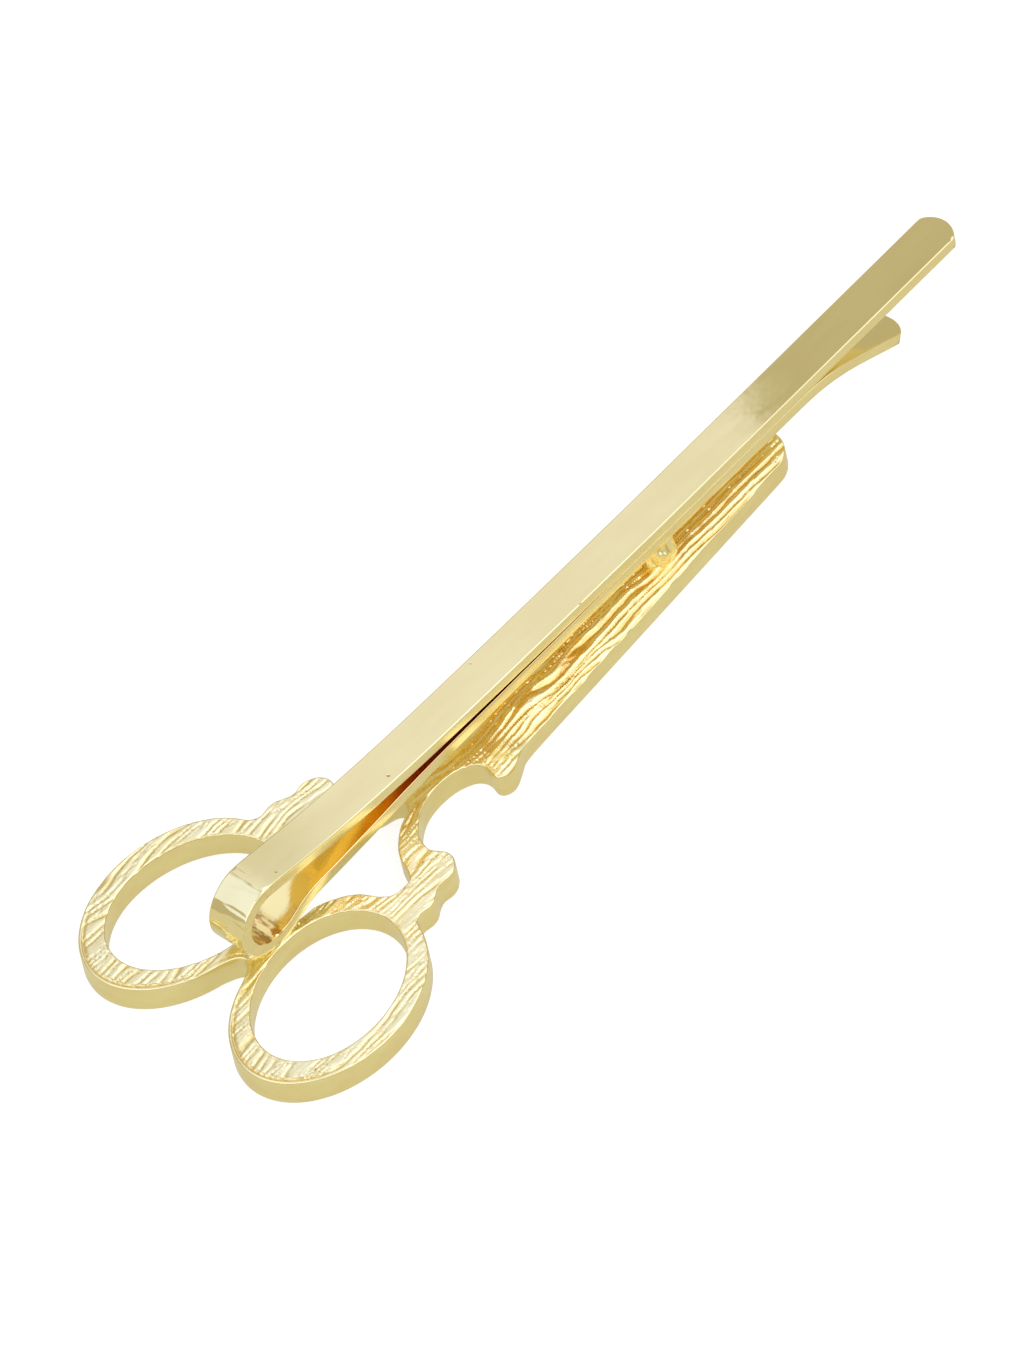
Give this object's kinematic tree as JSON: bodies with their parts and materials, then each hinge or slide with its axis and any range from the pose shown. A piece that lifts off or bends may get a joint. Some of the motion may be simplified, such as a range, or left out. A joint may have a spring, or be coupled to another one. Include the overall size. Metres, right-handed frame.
{
  "type": "hair slide",
  "caption": "Scissors-shaped hair slide: a flat cast ornament with finger rings, shanks and a tapered blade, soldered to a folded flat spring clip that grips the hair.",
  "frame": {"origin": "middle of the whole slide's outline, on the flat face of the ornament, which lies face down", "axes": "+X from the finger rings to the free end of the clip, +Y across the slide, +Z from the face to the back, where the clip is"},
  "size_m": [0.077, 0.024, 0.0081],
  "materials": {
    "cast_gold": "pale gold plate, polished edges, rough grained back",
    "strip_gold": "pale gold plate on spring steel, mirror polished",
    "solder_gold": "pale gold plate over soft solder, satin"
  },
  "bodies": {
    "ornament": {"scissors_casting": "cast_gold", "clip_front_leg": "strip_gold", "clip_bend": "strip_gold", "solder_joint_rings": "solder_gold", "solder_post_blade": "solder_gold"},
    "back_leg": {"clip_back_leg": "strip_gold"}
  },
  "joints": [
    {"name": "clip_opening", "type": "hinge", "parent": "ornament", "child": "back_leg", "pos_m": [-0.0295, 0.0004, 0.0052], "axis": [0, -1, 0], "range_deg": [0, 9], "stiffness_Nm_per_rad": 0.8, "springref_deg": -2.01, "deforming": ["clip_bend"]}
  ]
}
